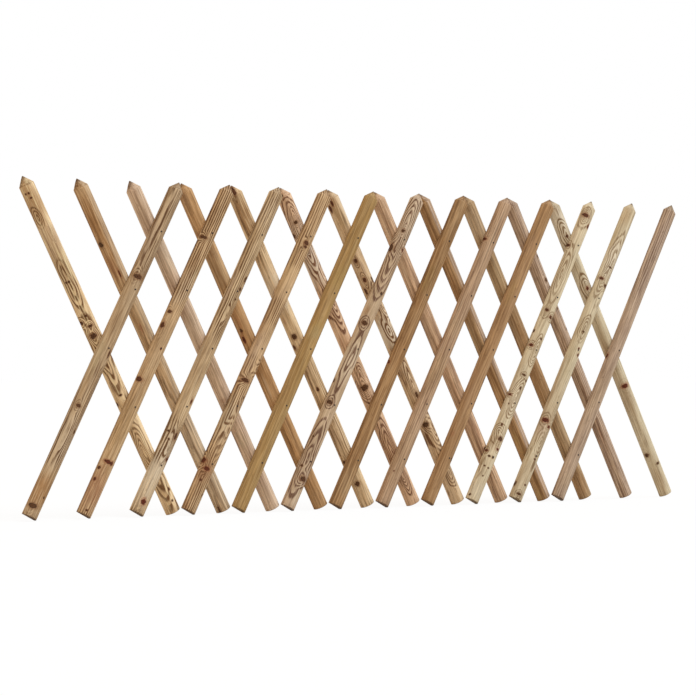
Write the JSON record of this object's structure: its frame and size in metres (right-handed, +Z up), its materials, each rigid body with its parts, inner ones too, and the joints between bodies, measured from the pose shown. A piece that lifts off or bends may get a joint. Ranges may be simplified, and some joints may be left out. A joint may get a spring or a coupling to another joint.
{
  "type": "expanding wooden trellis",
  "caption": "Expanding lattice of pointed half-round wooden slats crossed in two layers and pivoted on clinched nails, for a garden fence or climbing plants.",
  "frame": {"origin": "bottom centre of the bounding box: level of the feet, middle of the length and of the depth", "axes": "+X along the trellis to the right as seen from the front, +Y from the round front faces to the flat rear faces, +Z up"},
  "size_m": [2.5696, 0.0622, 1.0018],
  "materials": {
    "wood_tan": "pressure-treated softwood, tan, milled round face",
    "wood_orange": "pressure-treated softwood, orange brown, milled round face",
    "wood_pale": "pressure-treated softwood, pale yellow, milled round face",
    "wood_pink": "pressure-treated softwood, pinkish tan, milled round face",
    "wood_olive": "pressure-treated softwood, olive brown, milled round face",
    "nail_steel": "dark weathered steel"
  },
  "bodies": {
    "front_01": {"front_slat_01": "wood_tan", "nails_01": "nail_steel"},
    "back_01": {"back_slat_01": "wood_tan"},
    "front_02": {"front_slat_02": "wood_orange", "nails_02": "nail_steel"},
    "back_02": {"back_slat_02": "wood_orange"},
    "front_03": {"front_slat_03": "wood_pale", "nails_03": "nail_steel"},
    "back_03": {"back_slat_03": "wood_pink"},
    "front_04": {"front_slat_04": "wood_pink", "nails_04": "nail_steel"},
    "back_04": {"back_slat_04": "wood_olive"},
    "front_05": {"front_slat_05": "wood_olive", "nails_05": "nail_steel"},
    "back_05": {"back_slat_05": "wood_orange"},
    "front_06": {"front_slat_06": "wood_pink", "nails_06": "nail_steel"},
    "back_06": {"back_slat_06": "wood_pale"},
    "front_07": {"front_slat_07": "wood_orange", "nails_07": "nail_steel"},
    "back_07": {"back_slat_07": "wood_olive"},
    "front_08": {"front_slat_08": "wood_pink", "nails_08": "nail_steel"},
    "back_08": {"back_slat_08": "wood_pink"},
    "front_09": {"front_slat_09": "wood_olive", "nails_09": "nail_steel"},
    "back_09": {"back_slat_09": "wood_olive"},
    "front_10": {"front_slat_10": "wood_pale", "nails_10": "nail_steel"},
    "back_10": {"back_slat_10": "wood_olive"},
    "front_11": {"front_slat_11": "wood_pale", "nails_11": "nail_steel"},
    "back_11": {"back_slat_11": "wood_tan"},
    "front_12": {"front_slat_12": "wood_pink", "nails_12": "nail_steel"},
    "back_12": {"back_slat_12": "wood_pale"}
  },
  "joints": [
    {"name": "opening", "type": "hinge", "parent": "back_06", "child": "front_06", "pos_m": [-0.09148, -0.00119, 0.50179], "axis": [0, 1, 0], "range_deg": [-40.5, 34.5]},
    {"name": "pivot_front_04_back_06", "type": "hinge", "parent": "back_06", "child": "front_04", "pos_m": [-0.27445, -0.00119, 0.85073], "axis": [0, 1, 0], "range_deg": [-40.5, 34.5]},
    {"name": "pivot_front_05_back_06", "type": "hinge", "parent": "back_06", "child": "front_05", "pos_m": [-0.18296, -0.00119, 0.67626], "axis": [0, 1, 0], "range_deg": [-40.5, 34.5]},
    {"name": "pivot_front_07_back_06", "type": "hinge", "parent": "back_06", "child": "front_07", "pos_m": [0, -0.00119, 0.32732], "axis": [0, 1, 0], "range_deg": [-40.5, 34.5]},
    {"name": "pivot_front_08_back_06", "type": "hinge", "parent": "back_06", "child": "front_08", "pos_m": [0.09148, -0.00119, 0.15285], "axis": [0, 1, 0], "range_deg": [-40.5, 34.5]},
    {"name": "pivot_front_04_back_02", "type": "hinge", "parent": "front_04", "child": "back_02", "pos_m": [-0.64038, -0.00119, 0.15285], "axis": [0, 1, 0], "range_deg": [-34.5, 40.5]},
    {"name": "pivot_front_04_back_03", "type": "hinge", "parent": "front_04", "child": "back_03", "pos_m": [-0.5489, -0.00119, 0.32732], "axis": [0, 1, 0], "range_deg": [-34.5, 40.5]},
    {"name": "pivot_front_04_back_04", "type": "hinge", "parent": "front_04", "child": "back_04", "pos_m": [-0.45741, -0.00119, 0.50179], "axis": [0, 1, 0], "range_deg": [-34.5, 40.5]},
    {"name": "pivot_front_05_back_05", "type": "hinge", "parent": "front_05", "child": "back_05", "pos_m": [-0.27445, -0.00119, 0.50179], "axis": [0, 1, 0], "range_deg": [-34.5, 40.5]},
    {"name": "pivot_front_07_back_07", "type": "hinge", "parent": "front_07", "child": "back_07", "pos_m": [0.09148, -0.00119, 0.50179], "axis": [0, 1, 0], "range_deg": [-34.5, 40.5]},
    {"name": "pivot_front_08_back_08", "type": "hinge", "parent": "front_08", "child": "back_08", "pos_m": [0.27445, -0.00119, 0.50179], "axis": [0, 1, 0], "range_deg": [-34.5, 40.5]},
    {"name": "pivot_front_08_back_09", "type": "hinge", "parent": "front_08", "child": "back_09", "pos_m": [0.36593, -0.00119, 0.67626], "axis": [0, 1, 0], "range_deg": [-34.5, 40.5]},
    {"name": "pivot_front_08_back_10", "type": "hinge", "parent": "front_08", "child": "back_10", "pos_m": [0.45741, -0.00119, 0.85073], "axis": [0, 1, 0], "range_deg": [-34.5, 40.5]},
    {"name": "pivot_front_01_back_02", "type": "hinge", "parent": "back_02", "child": "front_01", "pos_m": [-0.91482, -0.00119, 0.67626], "axis": [0, 1, 0], "range_deg": [-40.5, 34.5]},
    {"name": "pivot_front_02_back_02", "type": "hinge", "parent": "back_02", "child": "front_02", "pos_m": [-0.82334, -0.00119, 0.50179], "axis": [0, 1, 0], "range_deg": [-40.5, 34.5]},
    {"name": "pivot_front_03_back_03", "type": "hinge", "parent": "back_03", "child": "front_03", "pos_m": [-0.64038, -0.00119, 0.50179], "axis": [0, 1, 0], "range_deg": [-40.5, 34.5]},
    {"name": "pivot_front_09_back_09", "type": "hinge", "parent": "back_09", "child": "front_09", "pos_m": [0.45741, -0.00119, 0.50179], "axis": [0, 1, 0], "range_deg": [-40.5, 34.5]},
    {"name": "pivot_front_10_back_10", "type": "hinge", "parent": "back_10", "child": "front_10", "pos_m": [0.64038, -0.00119, 0.50179], "axis": [0, 1, 0], "range_deg": [-40.5, 34.5]},
    {"name": "pivot_front_11_back_10", "type": "hinge", "parent": "back_10", "child": "front_11", "pos_m": [0.73186, -0.00119, 0.32732], "axis": [0, 1, 0], "range_deg": [-40.5, 34.5]},
    {"name": "pivot_front_12_back_10", "type": "hinge", "parent": "back_10", "child": "front_12", "pos_m": [0.82334, -0.00119, 0.15285], "axis": [0, 1, 0], "range_deg": [-40.5, 34.5]},
    {"name": "pivot_front_01_back_01", "type": "hinge", "parent": "front_01", "child": "back_01", "pos_m": [-1.00631, -0.00119, 0.50179], "axis": [0, 1, 0], "range_deg": [-34.5, 40.5]},
    {"name": "pivot_front_11_back_11", "type": "hinge", "parent": "front_11", "child": "back_11", "pos_m": [0.82334, -0.00119, 0.50179], "axis": [0, 1, 0], "range_deg": [-34.5, 40.5]},
    {"name": "pivot_front_12_back_12", "type": "hinge", "parent": "front_12", "child": "back_12", "pos_m": [1.00631, -0.00119, 0.50179], "axis": [0, 1, 0], "range_deg": [-34.5, 40.5]}
  ],
  "couplings": [
    {"joint": "pivot_front_04_back_06", "follows": "opening", "ratio": 1},
    {"joint": "pivot_front_05_back_06", "follows": "opening", "ratio": 1},
    {"joint": "pivot_front_07_back_06", "follows": "opening", "ratio": 1},
    {"joint": "pivot_front_08_back_06", "follows": "opening", "ratio": 1},
    {"joint": "pivot_front_04_back_02", "follows": "opening", "ratio": -1},
    {"joint": "pivot_front_04_back_03", "follows": "opening", "ratio": -1},
    {"joint": "pivot_front_04_back_04", "follows": "opening", "ratio": -1},
    {"joint": "pivot_front_05_back_05", "follows": "opening", "ratio": -1},
    {"joint": "pivot_front_07_back_07", "follows": "opening", "ratio": -1},
    {"joint": "pivot_front_08_back_08", "follows": "opening", "ratio": -1},
    {"joint": "pivot_front_08_back_09", "follows": "opening", "ratio": -1},
    {"joint": "pivot_front_08_back_10", "follows": "opening", "ratio": -1},
    {"joint": "pivot_front_01_back_02", "follows": "opening", "ratio": 1},
    {"joint": "pivot_front_02_back_02", "follows": "opening", "ratio": 1},
    {"joint": "pivot_front_03_back_03", "follows": "opening", "ratio": 1},
    {"joint": "pivot_front_09_back_09", "follows": "opening", "ratio": 1},
    {"joint": "pivot_front_10_back_10", "follows": "opening", "ratio": 1},
    {"joint": "pivot_front_11_back_10", "follows": "opening", "ratio": 1},
    {"joint": "pivot_front_12_back_10", "follows": "opening", "ratio": 1},
    {"joint": "pivot_front_01_back_01", "follows": "opening", "ratio": -1},
    {"joint": "pivot_front_11_back_11", "follows": "opening", "ratio": -1},
    {"joint": "pivot_front_12_back_12", "follows": "opening", "ratio": -1}
  ]
}
